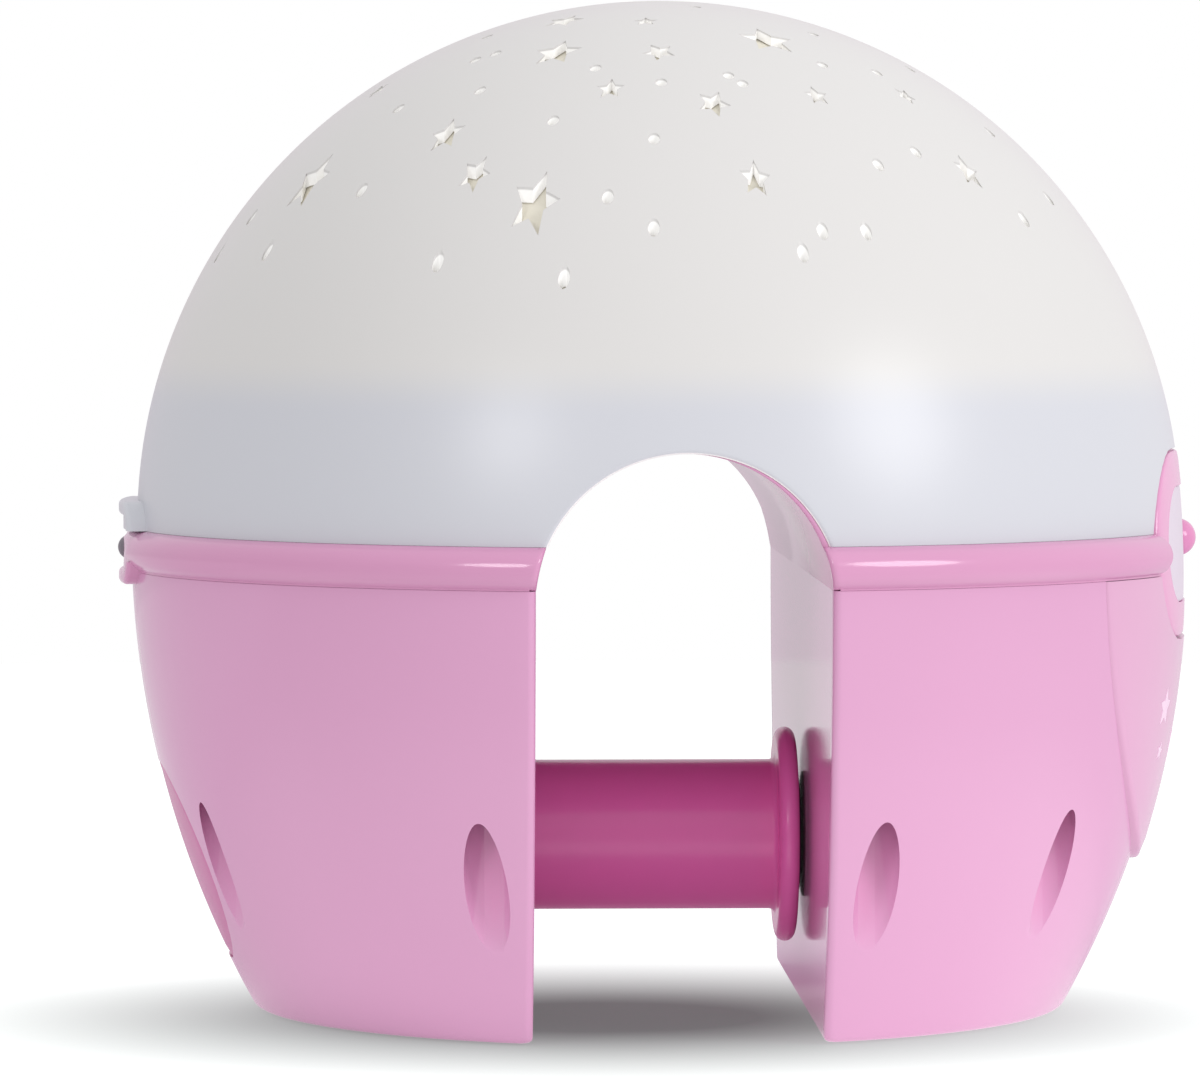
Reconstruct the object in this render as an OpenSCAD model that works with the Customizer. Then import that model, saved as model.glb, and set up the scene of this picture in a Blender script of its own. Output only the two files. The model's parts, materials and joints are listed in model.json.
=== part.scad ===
// Star night light that straddles a cot rail. A pierced dome stands on a chassis whose arch
// forms the roof of the rail slot; two hollow legs hang below it. The rear leg holds a sprung
// clamp that reaches across the slot, the front leg holds the batteries.
// Frame: origin on the floor under the middle, +Z up, +X towards the button, Y along the rail.

/* [Dome] */
// Outer radius of the star-pierced dome
dome_r = 80; // [79.5:0.1:80.5]
// Height of the dome's centre above the floor
dome_z = 74; // [73.8:0.1:74.2]
// Wall thickness of the dome
dome_wall = 1.4; // [1.2:0.1:2.4]
// Wall thickness of the inner diffuser
diffuser_wall = 1.4; // [1:0.1:1.6]
// Radius of the round light points between the stars
dot_r = 0.7; // [0.5:0.1:0.9]

/* [Rail slot] */
// Width of the slot between the legs
slot_w = 42.5; // [42:0.5:43]
// Height of the centre of the slot's round top
arch_z = 65.5; // [65:0.5:66]
// Thickness of the arch over the slot
arch_wall = 1.6; // [1.2:0.1:1.8]

/* [Legs] */
// Radius of the arc that shapes the legs' outside
belly_r = 146; // [144:1:148]
// Radius of the legs where they are widest
belly_max = 80.9; // [80.6:0.1:81]
// Wall thickness of the legs
leg_wall = 2.4; // [2.2:0.1:2.5]
// Rounding of the legs' lower edge
base_round = 3; // [2.6:0.2:3.4]
// Height that the rubber feet stand proud
foot_h = 0.5; // [0.4:0.1:0.6]

/* [Ring] */
// Radius of the half-round bead under the dome
bead_r = 3.15; // [3:0.05:3.2]

/* [Clamp] */
// Outer radius of the clamp plunger
plunger_r = 11.5; // [11:0.1:11.6]
// Height of the clamp's axis
plunger_z = 26; // [25.5:0.5:26.5]
// Radius of the plunger's pressing flange
flange_r = 16.5; // [15:0.5:17]
// How far the plunger draws back into the rear leg
clamp_travel = 27; // [20:1:27]
// Number of turns in the clamp spring
spring_turns = 11; // [8:1:12]

/* [Controls] */
// Radius of the ball-shaped front button
button_r = 2.9; // [2.6:0.1:2.9]
// Radius of the mode switch's knob
knob_r = 1.9; // [1.7:0.1:1.9]
// Half of the mode switch's travel
knob_travel = 4; // [3:0.5:4]

/* [Power] */
// Radius of one AA cell
cell_r = 7.1; // [7:0.05:7.2]
// Length of one AA cell without its nub
cell_h = 49.2; // [48.8:0.1:49.2]

/* [Hidden] */
fine = 128;
gap = 0.3;             // room left between two pieces that don't touch
lining_r = dome_r - dome_wall - 0.2;  // outer radius of what stands behind the dome's wall
far = 100;             // beyond the object on every side

// Slot walls, arch and seam heights
slot_x = 0.5;
arch_r = slot_w / 2;
slot_rear = slot_x - arch_r;
slot_front = slot_x + arch_r;
leg_top = 67.15;
deck_t = 2;
deck_top = leg_top + deck_t;
seam_z = 73.45;
lip_h = 2;

// Leg outline and its rounded lower edge
belly_z = 72;
belly_x = belly_max - belly_r;
base_x = belly_x + sqrt(pow(belly_r - base_round, 2) - pow(belly_z - foot_h - base_round, 2));
base_join_z = belly_z - (belly_z - foot_h - base_round) * belly_r / (belly_r - base_round);
floor_top = foot_h + leg_wall;

// Ring radii
ring_in = 75.2;
ring_out = 79.55;
bead_z = 70.3;
seat_out = 77.5;

// Front panel: a stadium in Y and Z
panel_half = 19.45;
panel_r = 14;
panel_z = 71.4;
panel_bulge = 150;
panel_mid_z = 66;
panel_max = 80.7;
window_drop = 5.2;
cover_disc_r = 50;
cover_disc_z = 72.3;
cover_r = 140;
cover_mid_z = 68;
cover_max = 81.1;
cover_sink = 0.8;

// Rear bezel round the mode switch
bezel_z = 71.5;
bezel_high = 6.3;
bezel_wide = 18;
bezel_rim = 2.2;
bezel_face = 82.1;
bezel_out = 82.8;

// Rear cap: a stadium in Y and Z
cap_r = 14.9;
cap_half = 8.1;
cap_z = 23;
cap_proud = 0.4;
cap_t = 2.4;
cap_ledge = 2.5;

// Screw wells: turned from -Y towards +X, and mirrored to +Y
well_turns = [-67, -22.4, 23.4, 51.2];
well_pitch = 73.35;
well_r = 2.4;
well_top = 46;
tower_r = 4.7;
tower_top = well_top + leg_wall;
screw_r = 1.35;
pilot_r = 1.4;
boss_r = 3;

// Clamp along X
bush_end = -36;
bush_r = 13.4;
stop_t = 2.2;
tail_x = bush_end - gap - stop_t;
flange_x = 17.5;
flange_t = 3.1;
pad_r = 9.7;
bore_r = 8.5;
spring_seat_x = tail_x - clamp_travel - 1.5;
spring_r = 7;
wire_r = 0.6;

// Front button and its switch
button_z = 71.7;
button_x = 80;
button_travel = 1.2;
button_stem_x = 74.7;
board_x = 66;
board_t = 1.6;

// Mode switch knob
knob_z = 70.4;
knob_tip = 83;

// Batteries, in a row along Y
cell_x = 37.5;
cell_pitch = 15;
cell_low = 4.6;
box_wall = 1.4;
door_screw_y = 29.3;

// Speaker on the floor of the rear leg
speaker_at = [-37, 28];
speaker_r = 12.5;

// Stars: x, y, radius of the tips, turn. The same scatter is turned half round for the back.
stars = [[-20.5, -60, 3.8, 60], [-29, -52.5, 2.5, 45], [-33, -43, 2.8, 67], [11.5, -59.5, 2.4, 22],
    [6, -48.5, 2.6, 70], [15, -28.5, 4.5, 35], [-16.5, -32.5, 3.8, 69], [-1.5, -36.5, 2.6, 45],
    [-9, -45, 2.2, 10], [21.5, -42, 2, 40], [35.5, -30.5, 1.8, 20], [44, -40, 2.4, 50],
    [-53, -29.5, 3.8, 30], [-15, -18.5, 3.2, 55], [-3, -24.5, 2, 15], [-43, -14, 1.8, 0]];
dots = [[-34.5, -60], [-16.5, -68.5], [-3.5, -66], [-10, -62], [18, -66], [21, -63], [27.5, -60.5],
    [-3, -55], [8.5, -42], [10.5, -43.5], [23, -32.5], [22.5, -19], [30, -50.5], [36, -44],
    [31.5, -27], [52.5, -38.5], [57.5, -25], [49, -21], [37.5, -14], [-1.5, -44.5], [5, -14],
    [-28.5, -25.5], [-25.5, -26], [-26.5, -14.5], [-28, -36.5], [-40, -29], [-45.5, -42],
    [-59.5, -33.5], [-62, -19], [-67, -14], [-17.5, -49], [-11, -39.5]];

// ---- shared shapes ----

module slot_outline(grow = 0) {
    // The rail slot in X and Z: a round arch on straight walls
    translate([slot_x, arch_z]) circle(r = arch_r + grow, $fn = fine);
    translate([slot_rear - grow, -5]) square([slot_w + 2 * grow, arch_z + 5]);
}

module along_slot() {
    // Carries an outline in X and Z along Y, through the whole object
    rotate([90, 0, 0]) linear_extrude(2 * far, center = true) children();
}

module towards_front(from = 40) {
    // Carries an outline in Y and Z out along +X
    translate([from, 0, 0]) rotate([90, 0, 90]) linear_extrude(far - from) children();
}

module towards_rear() {
    mirror([1, 0, 0]) towards_front() children();
}

module barrel(radius, mid_z, widest, low, high) {
    // A solid of revolution whose side is one arc
    rotate_extrude($fn = fine) intersection() {
        translate([widest - radius, mid_z]) circle(r = radius, $fn = 2 * fine);
        translate([0, low]) square([far, high - low]);
    }
}

module belly_body() {
    // Both legs' outside before the slot is cut, with the lower edge rounded
    rotate_extrude($fn = fine) {
        intersection() {
            translate([belly_x, belly_z]) circle(r = belly_r, $fn = 2 * fine);
            translate([0, base_join_z]) square([far, leg_top - base_join_z]);
        }
        translate([base_x, foot_h + base_round]) circle(r = base_round, $fn = 48);
        translate([0, foot_h]) square([base_x, base_round]);
    }
}

module belly_inset(inset, low, high) {
    barrel(belly_r - inset, belly_z, belly_max - inset, low, high);
}

module beside_slot(side, inset = 0) {
    // All space on one side of the slot, drawn back from its wall by inset
    x = side > 0 ? slot_front + inset : slot_rear - inset - far;
    translate([x, -far, -1]) cube([far, 2 * far, 2 * far]);
}

module panel_outline(grow = 0) {
    translate([0, panel_z]) stadium(panel_half, panel_r + grow);
}

module panel_void() {
    // What the ring leaves free for the panel
    difference() {
        towards_front() panel_outline(0.5);
        cylinder(r = seat_out, h = far, $fn = fine);
    }
}

module stadium(half, radius) {
    translate([-half, 0]) circle(r = radius, $fn = 64);
    translate([half, 0]) circle(r = radius, $fn = 64);
    translate([-half, -radius]) square([2 * half, 2 * radius]);
}

module cap_outline(grow = 0) {
    translate([0, cap_z]) stadium(cap_half, cap_r + grow);
}

module bezel_outline(grow = 0) {
    translate([0, bezel_z]) stadium(bezel_wide - bezel_high, bezel_high + grow);
}

module bezel(low, high, inner) {
    // The raised frame round the mode switch between two heights, from radius inner outwards
    intersection() {
        difference() {
            towards_rear() bezel_outline();
            cylinder(r = inner, h = far, $fn = fine);
            difference() {
                towards_rear() bezel_outline(-bezel_rim);
                cylinder(r = bezel_face, h = far, $fn = fine);
            }
        }
        translate([0, 0, low]) cylinder(r = bezel_out, h = high - low, $fn = fine);
    }
}

module at_wells(side) {
    // Stands its children at the screw wells of one leg
    for (turn = well_turns, flip = [0, 1])
        if (sign(turn) == side)
            mirror([0, flip, 0]) rotate([0, 0, turn]) translate([0, -well_pitch, 0]) children();
}

module along_x(from, to, radius) {
    // A straight round bar on the clamp's axis
    translate([from, 0, plunger_z]) rotate([0, 90, 0])
        cylinder(r = radius, h = to - from, $fn = fine);
}

module screw(shank_r, head_r, head_h, length) {
    // Head below z = 0, shank above it, with a cross recess
    difference() {
        union() {
            translate([0, 0, -head_h]) cylinder(r = head_r, h = head_h, $fn = 32);
            cylinder(r = shank_r, h = length, $fn = 32);
        }
        for (turn = [0, 90]) rotate([0, 0, turn])
            translate([-head_r * 0.6, -0.35, -head_h - 1]) cube([head_r * 1.2, 0.7, 1.5]);
    }
}

module star(radius) {
    // Five points with sides drawn well in
    polygon([for (i = [0:9]) let (r = i % 2 == 0 ? radius : radius * 0.42)
        [r * cos(36 * i), r * sin(36 * i)]]);
}

// ---- upper part ----

module dome_shell() {
    color("whitesmoke") difference() {
        union() {
            intersection() {
                difference() {
                    translate([0, 0, dome_z]) sphere(r = dome_r, $fn = fine);
                    translate([0, 0, dome_z]) sphere(r = dome_r - dome_wall, $fn = fine);
                }
                translate([0, 0, seam_z]) cylinder(r = far, h = far);
            }
            bezel(seam_z, seam_z + bezel_high, ring_out - 1);
        }
        along_slot() slot_outline(0.45);
        towards_front() panel_outline(0.5);
        star_holes();
    }
}

module star_holes() {
    // Every light hole is drawn straight down, as the moulding tool leaves it
    for (turn = [0, 180]) rotate([0, 0, turn]) {
        for (s = stars) translate([s[0], s[1], dome_z + 20])
            linear_extrude(far) rotate(s[3]) star(s[2]);
        for (d = dots) translate([d[0], d[1], dome_z + 20])
            cylinder(r = dot_r, h = far, $fn = 16);
    }
}

module diffuser_dome() {
    color("antiquewhite") difference() {
        intersection() {
            difference() {
                translate([0, 0, dome_z]) sphere(r = lining_r, $fn = fine);
                translate([0, 0, dome_z]) sphere(r = lining_r - diffuser_wall, $fn = fine);
            }
            translate([0, 0, seam_z + lip_h]) cylinder(r = far, h = far);
        }
        along_slot() slot_outline(arch_wall + gap);
        towards_front() panel_outline(1);
    }
}

module chassis() {
    led_pad = [13, 16, 3];
    post = [4, 6, 10];
    color("hotpink") difference() {
        union() {
            chassis_ring();
            translate([0, 0, leg_top]) cylinder(r = ring_in + 0.3, h = deck_t, $fn = fine);
            chassis_arch();
            bezel(leg_top - bezel_high, leg_top + 1.6, belly_max + 0.05);
            panel_seat();
            for (side = [-1, 1]) translate([board_x - post[0], side * 19 - post[1] / 2, deck_top])
                cube(post);
            translate([slot_x - led_pad[0] / 2, -led_pad[1] / 2, arch_z + arch_r])
                cube(led_pad);
            for (side = [-1, 1]) at_wells(side)
                translate([0, 0, tower_top]) cylinder(r = boss_r, h = leg_top + 1 - tower_top, $fn = 32);
        }
        along_slot() slot_outline();
        panel_void();
        bezel_recess();
        for (side = [-1, 1]) at_wells(side)
            translate([0, 0, well_top]) cylinder(r = pilot_r, h = 16, $fn = 32);
        button_hole(button_r + 1.7);
        knob_slot();
        for (side = [-1, 1]) board_screw_holes(side);
    }
}

module bezel_recess() {
    // Takes the bead away inside the bezel
    difference() {
        towards_rear() bezel_outline(-bezel_rim);
        cylinder(r = bezel_face, h = far, $fn = fine);
    }
}

module chassis_ring() {
    rotate_extrude($fn = fine) {
        translate([ring_out, bead_z]) circle(r = bead_r, $fn = 48);
        translate([ring_in, leg_top]) square([ring_out - ring_in, seam_z - leg_top]);
        translate([ring_in, seam_z]) square([seat_out - 0.1 - ring_in, lip_h]);
    }
}

module chassis_arch() {
    // The roof of the rail slot, ending behind the dome's edge in a thin lip
    intersection() {
        along_slot() slot_outline(arch_wall);
        translate([0, 0, dome_z]) sphere(r = lining_r, $fn = fine);
        translate([0, 0, leg_top]) cylinder(r = far, h = far);
    }
    intersection() {
        along_slot() slot_outline(0.4);
        translate([0, 0, dome_z]) sphere(r = dome_r - 0.7, $fn = fine);
        translate([0, 0, leg_top + 1]) cylinder(r = far, h = far);
    }
}

module panel_seat() {
    // The wall that the front panel lies against
    intersection() {
        difference() {
            cylinder(r = seat_out, h = far, $fn = fine);
            translate([0, 0, -1]) cylinder(r = ring_in, h = far + 2, $fn = fine);
        }
        towards_front() panel_outline(0.4);
    }
}

module button_hole(radius) {
    translate([50, 0, button_z]) rotate([0, 90, 0]) cylinder(r = radius, h = far, $fn = 48);
}

module knob_slot() {
    towards_rear() translate([0, knob_z]) stadium(knob_travel, knob_r + 0.4);
    translate([-77.6, -10.5, deck_top]) cube([10.4, 21, seam_z + 1 - deck_top]);
}

module board_screw_holes(side) {
    translate([board_x - 5, side * 19, deck_top + 7]) rotate([0, 90, 0])
        cylinder(r = 0.9, h = 10, $fn = 24);
    translate([slot_x + side * 5, 0, arch_z + arch_r - 1]) cylinder(r = 0.9, h = 10, $fn = 24);
}

// ---- legs ----

module leg_tub(side) {
    // One hollow leg: arched outside, flat wall to the slot, open top, screw towers inside
    difference() {
        intersection() {
            belly_body();
            beside_slot(side);
        }
        difference() {
            intersection() {
                belly_inset(leg_wall, floor_top, far);
                beside_slot(side, leg_wall);
            }
            at_wells(side) cylinder(r = tower_r, h = tower_top, $fn = 32);
        }
        at_wells(side) {
            translate([0, 0, -1]) cylinder(r = well_r, h = well_top + 1, $fn = 32);
            cylinder(r = pilot_r + 0.3, h = far, $fn = 24);
        }
        for (p = foot_places(side)) translate([p[0], p[1], -1]) cylinder(r = 4.6, h = 2.2, $fn = 32);
    }
}

function foot_places(side) = [[side * 30, -45], [side * 30, 45], [side * 54.8, 0]];

module rear_leg_shell() {
    color("pink") difference() {
        union() {
            leg_tub(-1);
            intersection() {
                difference() {
                    belly_inset(1.5, 3, 50);
                    belly_inset(cap_t - cap_proud + 1.6, 2, 51);
                }
                towards_rear() cap_outline(3);
            }
            translate([speaker_at[0], speaker_at[1], floor_top - 0.5]) difference() {
                cylinder(r = speaker_r + 1.4, h = 3.5, $fn = 64);
                cylinder(r = speaker_r + 0.1, h = 4, $fn = 64);
            }
        }
        difference() {
            towards_rear() cap_outline(gap);
            belly_inset(cap_t - cap_proud, -1, far);
        }
        towards_rear() cap_outline(-cap_ledge);
        along_x(slot_rear - leg_wall - 1, slot_rear + 1, bush_r + 0.05);
        translate([speaker_at[0], speaker_at[1], -1]) speaker_grille();
    }
}

module speaker_grille() {
    // A ring pattern of sound holes through the floor
    for (ring = [0:2], i = [0:max(0, 6 * ring - 1)])
        rotate([0, 0, ring == 0 ? 0 : 60 * i / ring]) translate([3.6 * ring, 0, 0])
            cylinder(r = 0.9, h = 10, $fn = 16);
}

module rear_cap() {
    color("palevioletred") union() {
        intersection() {
            difference() {
                belly_inset(-cap_proud, 2, 60);
                belly_inset(cap_t - cap_proud, 1, 61);
            }
            towards_rear() cap_outline();
        }
        intersection() {
            along_x(-far, spring_seat_x, bore_r);
            belly_inset(1, 2, 60);
        }
    }
}

module front_leg_shell() {
    color("pink") difference() {
        union() {
            leg_tub(1);
            translate([cell_x, door_screw_y, floor_top - 0.5]) cylinder(r = 4, h = 10, $fn = 32);
        }
        difference() {
            towards_front(20) translate([0, cover_disc_z]) circle(r = cover_disc_r + 0.2, $fn = fine);
            belly_inset(cover_sink, -1, far);
        }
        towards_front() panel_outline(0.5);
        door_opening();
        translate([cell_x, door_screw_y, -1]) cylinder(r = screw_r, h = 12, $fn = 32);
    }
}

module door_opening() {
    // A shallow pocket for the door's plate and the hole that the cells go through
    translate([26 - 0.4, -27.4, -1]) cube([23.8, 60.8, foot_h + 1.4 + 1]);
    translate([cell_x - cell_r - 0.5, -cell_pitch - cell_r - 0.6, -1])
        cube([2 * cell_r + 1, 2 * (cell_pitch + cell_r) + 1.2, 10]);
}

module front_cover() {
    color("lightpink") difference() {
        intersection() {
            barrel(cover_r, cover_mid_z, cover_max, 10, leg_top - gap);
            towards_front(20) translate([0, cover_disc_z]) circle(r = cover_disc_r, $fn = fine);
        }
        belly_inset(cover_sink, 5, far);
        towards_front() panel_outline(0.5);
    }
}

// ---- front controls ----

module front_panel() {
    color("lightpink") difference() {
        intersection() {
            barrel(panel_bulge, panel_mid_z, panel_max, 50, 90);
            towards_front() panel_outline();
        }
        cylinder(r = seat_out, h = far, $fn = fine);
        towards_front() panel_outline(-window_drop);
    }
}

module panel_window() {
    color("white") difference() {
        intersection() {
            barrel(panel_bulge - 0.2, panel_mid_z, panel_max - 0.2, 50, 90);
            towards_front() panel_outline(-window_drop - 0.05);
        }
        cylinder(r = seat_out, h = far, $fn = fine);
        button_hole(button_r + gap);
    }
}

module front_button() {
    // A ball nose on a stem, held behind the window by its flange
    flange_at = seat_out - gap - 1;
    color("hotpink") translate([0, 0, button_z]) rotate([0, 90, 0]) {
        translate([0, 0, button_x]) sphere(r = button_r, $fn = 48);
        translate([0, 0, flange_at]) cylinder(r = button_r, h = button_x - flange_at, $fn = 48);
        translate([0, 0, flange_at]) cylinder(r = button_r + 1.3, h = 0.9, $fn = 48);
        translate([0, 0, button_stem_x]) cylinder(r = 1.5, h = flange_at - button_stem_x, $fn = 32);
    }
}

module button_switch() {
    body = [3.4, 6, 4.4];
    face = board_x + board_t;
    tip = button_stem_x - button_travel - gap;
    color("dimgray") union() {
        translate([face, -body[1] / 2, button_z - body[2] / 2]) cube(body);
        translate([face + body[0], 0, button_z]) rotate([0, 90, 0])
            cylinder(r = 1.7, h = tip - face - body[0], $fn = 32);
    }
}

module circuit_board() {
    size = [board_t, 48, 15];
    color("seagreen") difference() {
        translate([board_x, -size[1] / 2, deck_top + 0.2]) cube(size);
        for (side = [-1, 1]) translate([board_x - 1, side * 19, deck_top + 7])
            rotate([0, 90, 0]) cylinder(r = 1.1, h = 5, $fn = 24);
    }
}

module board_screws() {
    // Two through the control board and two through the lamp board
    color("silver") for (side = [-1, 1]) {
        translate([board_x + board_t, side * 19, deck_top + 7]) rotate([0, -90, 0])
            screw(0.85, 1.8, 1.2, 6);
        translate([slot_x + side * 5, 0, arch_z + arch_r + 3 + board_t]) rotate([180, 0, 0])
            screw(0.85, 1.8, 1.2, 5);
    }
}

module led_board() {
    size = 24;
    color("seagreen") difference() {
        translate([slot_x - size / 2, -size / 2, arch_z + arch_r + 3]) cube([size, size, board_t]);
        for (side = [-1, 1]) translate([slot_x + side * 5, 0, arch_z + arch_r])
            cylinder(r = 1.1, h = 10, $fn = 24);
    }
}

module leds() {
    // Four round lamps at the corners of their board
    base = arch_z + arch_r + 3 + board_t;
    color("lightyellow") for (x = [-8, 8], y = [-8, 8]) translate([slot_x + x, y, base]) {
        cylinder(r = 2.9, h = 1, $fn = 32);
        cylinder(r = 2.5, h = 4, $fn = 32);
        translate([0, 0, 4]) sphere(r = 2.5, $fn = 32);
    }
}

module mode_switch() {
    color("dimgray") difference() {
        translate([-75.3, -9, deck_top]) cube([5, 18, 3.6]);
        translate([-76, -5.5, knob_z - 0.2]) cube([2, 11, 2]);
    }
}

module mode_switch_knob() {
    color("gray") union() {
        translate([knob_r - knob_tip, 0, knob_z]) sphere(r = knob_r, $fn = 48);
        translate([knob_r - knob_tip, 0, knob_z]) rotate([0, 90, 0])
            cylinder(r = knob_r, h = knob_tip - knob_r - 76, $fn = 48);
        translate([-76.8, -6, deck_top + 0.3]) cube([1, 12, 3]);
        translate([-76, -0.8, knob_z]) cube([1.6, 1.6, 1.4]);
    }
}

// ---- clamp ----

module clamp_plunger() {
    // A hollow piston with a rounded pressing flange, open at its tail for the spring
    rim = flange_t / 2;
    color("mediumvioletred") difference() {
        union() {
            along_x(bush_end - gap, flange_x + 0.5, plunger_r);
            along_x(tail_x, bush_end - gap, plunger_r - 1.5);
            translate([flange_x, 0, plunger_z]) rotate([0, 90, 0]) rotate_extrude($fn = fine) {
                translate([flange_r - rim, rim]) circle(r = rim, $fn = 32);
                square([flange_r - rim, flange_t]);
                difference() {
                    translate([0, -1]) square([plunger_r + 1, 1]);
                    translate([plunger_r + 1, -1]) circle(r = 1, $fn = 32);
                }
            }
        }
        along_x(tail_x - 1, flange_x - 2.5, bore_r);
        along_x(flange_x + flange_t - 1, flange_x + flange_t + 1, pad_r);
    }
}

module grip_pad() {
    color("black") along_x(flange_x + flange_t - 1, slot_front - gap, pad_r - 0.05);
}

module clamp_stop_ring() {
    color("mediumvioletred") difference() {
        along_x(tail_x, tail_x + stop_t, 12.9);
        along_x(tail_x - 1, tail_x + stop_t + 1, plunger_r - 1.5);
    }
}

module guide_sleeve() {
    // The bush that the plunger runs in, flanged against the inside of the slot wall
    color("gainsboro") difference() {
        union() {
            along_x(bush_end, slot_rear - 0.1, bush_r);
            along_x(slot_rear - leg_wall - 2, slot_rear - leg_wall, bush_r + 3.6);
        }
        along_x(bush_end - 1, slot_rear + 1, plunger_r + 0.08);
    }
}

module clamp_spring() {
    // A compression spring: a wire swept along a helix
    sides = 6;
    steps = 14;
    low = spring_seat_x + wire_r;
    high = flange_x - 2.5 - wire_r;
    count = steps * spring_turns;
    ring = [for (i = [0:count]) for (k = [0:sides - 1])
        let (turn = 360 * i / steps, tilt = 360 * k / sides, r = spring_r + wire_r * cos(tilt))
        [low + (high - low) * i / count + wire_r * sin(tilt), r * cos(turn), plunger_z + r * sin(turn)]];
    sides_of = [for (i = [0:count - 1]) for (k = [0:sides - 1])
        let (a = i * sides + k, b = i * sides + (k + 1) % sides) [a, b, b + sides, a + sides]];
    ends = [[for (k = [sides - 1:-1:0]) k], [for (k = [0:sides - 1]) count * sides + k]];
    color("silver") polyhedron(ring, concat(sides_of, ends));
}

// ---- power and sound ----

module speaker() {
    color("dimgray") translate([speaker_at[0], speaker_at[1], floor_top]) {
        cylinder(r = speaker_r, h = 2, $fn = 64);
        translate([0, 0, 2]) cylinder(r1 = speaker_r - 0.5, r2 = 8, h = 4, $fn = 64);
        translate([0, 0, 6]) cylinder(r = 8, h = 5, $fn = 64);
    }
}

module battery_box() {
    inner = [2 * cell_r + 0.8, 2 * (cell_pitch + cell_r) + 1, 0];
    roof = cell_low + cell_h + 1 + 2;
    low = [cell_x - inner[0] / 2 - box_wall, -inner[1] / 2 - box_wall, floor_top];
    outer = [inner[0] + 2 * box_wall, inner[1] + 2 * box_wall, roof + box_wall - floor_top];
    color("lightgray") difference() {
        translate(low) cube(outer);
        translate([cell_x - inner[0] / 2, -inner[1] / 2, floor_top - 1])
            cube([inner[0], inner[1], roof - floor_top + 1]);
    }
}

module batteries() {
    // Neighbouring cells stand opposite ways up in a real pack; only their outline matters here
    color("darkorange") for (i = [-1:1]) translate([cell_x, i * cell_pitch, cell_low]) {
        cylinder(r = cell_r, h = cell_h, $fn = 64);
        translate([0, 0, cell_h]) cylinder(r = 2.7, h = 1, $fn = 32);
    }
}

module battery_contacts() {
    top = cell_low + cell_h + 1;
    color("silver") for (i = [-1:1]) translate([cell_x, i * cell_pitch, top])
        cylinder(r1 = 2.4, r2 = 5, h = 2, $fn = 32);
}

module battery_door() {
    plug = [2 * cell_r + 0.2, 2 * (cell_pitch + cell_r) + 0.4, 2];
    color("pink") difference() {
        union() {
            translate([26, -27, foot_h + 0.1]) cube([23, 60, 1.2]);
            translate([cell_x - plug[0] / 2, -plug[1] / 2, foot_h + 1.3]) cube(plug);
        }
        translate([cell_x, door_screw_y, 0]) {
            cylinder(r = 2.9, h = foot_h + 0.8, $fn = 32);
            cylinder(r = 1.6, h = 10, $fn = 32);
        }
    }
}

module door_contact() {
    color("silver") translate([cell_x - 5, -cell_pitch - 5, foot_h + 3.3])
        cube([10, 2 * cell_pitch + 10, 0.5]);
}

module door_screw() {
    color("silver") translate([cell_x, door_screw_y, foot_h + 0.8]) screw(1.25, 2.6, 0.7, 9);
}

// ---- fasteners and feet ----

module leg_screws() {
    // Eight screws, each at the top of its well, up into the chassis
    color("silver") for (side = [-1, 1]) at_wells(side)
        translate([0, 0, well_top]) screw(screw_r, 2.15, 1.8, 14);
}

module foot_pads() {
    color("gray") for (side = [-1, 1], p = foot_places(side))
        translate([p[0], p[1], 0]) cylinder(r = 4.5, h = 1.2, $fn = 32);
}

dome_shell();
diffuser_dome();
chassis();
rear_leg_shell();
front_leg_shell();
front_cover();
front_panel();
panel_window();
front_button();
button_switch();
circuit_board();
board_screws();
led_board();
leds();
mode_switch();
mode_switch_knob();
clamp_plunger();
grip_pad();
clamp_stop_ring();
clamp_spring();
guide_sleeve();
rear_cap();
speaker();
battery_box();
batteries();
battery_contacts();
battery_door();
door_contact();
door_screw();
leg_screws();
foot_pads();
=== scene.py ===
"""Looks for the star night light: shells with worked edges, materials, light and camera.

Lengths are in millimetres in the row frame until a mesh is made: origin on the floor under the
middle, +Z up, +X towards the button, Y along the rail slot. The camera stands on the -Y side.
"""

import json
import math

import bmesh
import bpy
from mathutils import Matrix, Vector

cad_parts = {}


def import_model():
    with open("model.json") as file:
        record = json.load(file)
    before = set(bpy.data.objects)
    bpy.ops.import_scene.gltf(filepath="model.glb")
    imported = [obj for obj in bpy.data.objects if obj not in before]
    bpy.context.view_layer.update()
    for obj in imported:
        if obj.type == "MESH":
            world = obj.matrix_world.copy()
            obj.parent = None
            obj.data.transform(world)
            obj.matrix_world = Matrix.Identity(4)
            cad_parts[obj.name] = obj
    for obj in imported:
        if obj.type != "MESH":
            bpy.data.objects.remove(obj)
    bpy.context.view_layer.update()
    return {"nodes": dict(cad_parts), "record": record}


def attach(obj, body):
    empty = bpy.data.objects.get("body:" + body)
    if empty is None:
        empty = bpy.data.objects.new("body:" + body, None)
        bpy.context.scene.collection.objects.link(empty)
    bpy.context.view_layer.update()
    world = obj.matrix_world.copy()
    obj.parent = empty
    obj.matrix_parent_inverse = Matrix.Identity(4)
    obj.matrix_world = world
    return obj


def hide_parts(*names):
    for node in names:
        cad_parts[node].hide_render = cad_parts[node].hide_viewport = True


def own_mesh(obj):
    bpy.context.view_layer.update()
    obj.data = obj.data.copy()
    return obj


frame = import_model()

MM = 0.001
BODY = "housing"
REACH = 100.0  # past the object's sides, for the ends of cutters
OUTSIDE_R = 95  # past its surface, for cutters that follow it
SMOOTH_ANGLE = 35

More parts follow.
